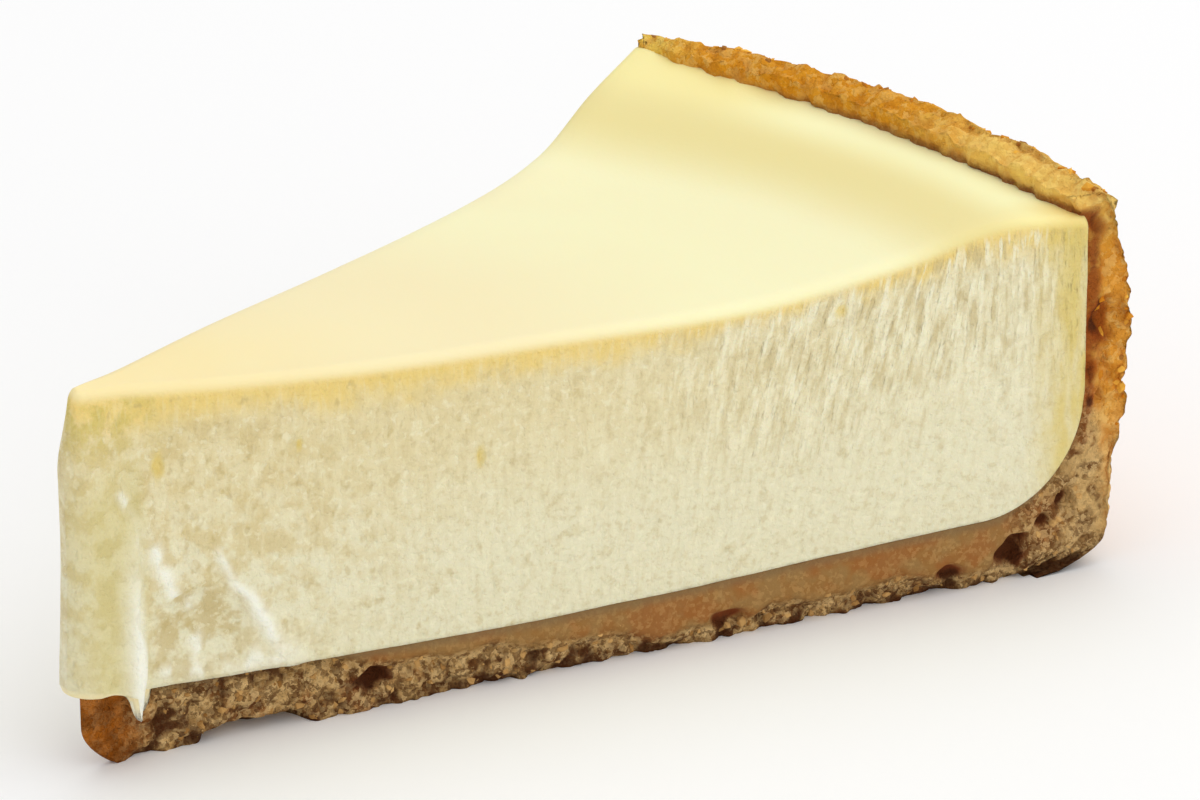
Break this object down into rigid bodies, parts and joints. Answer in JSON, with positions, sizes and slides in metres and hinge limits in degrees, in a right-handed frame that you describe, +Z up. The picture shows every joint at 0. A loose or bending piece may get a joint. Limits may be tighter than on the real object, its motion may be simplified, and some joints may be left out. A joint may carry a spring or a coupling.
{
  "type": "cheesecake slice",
  "caption": "Wedge of baked plain cheesecake with a dense pale filling in a biscuit crumb crust that covers its base and curves up its outer edge.",
  "frame": {"origin": "middle of the slice's box, on the surface that it stands on", "axes": "+X along the slice's bisector from the tip to the outer crust, +Z up"},
  "size_m": [0.1197, 0.0715, 0.0433],
  "materials": {
    "filling": "baked cream cheese filling, moist and satin, with fine pores and knife drag on the cut faces",
    "crumb_crust": "pressed biscuit crumbs, rough, golden on the outside and brown where cut"
  },
  "bodies": {
    "root": {"filling": "filling", "crumb_crust": "crumb_crust"}
  },
  "joints": []
}
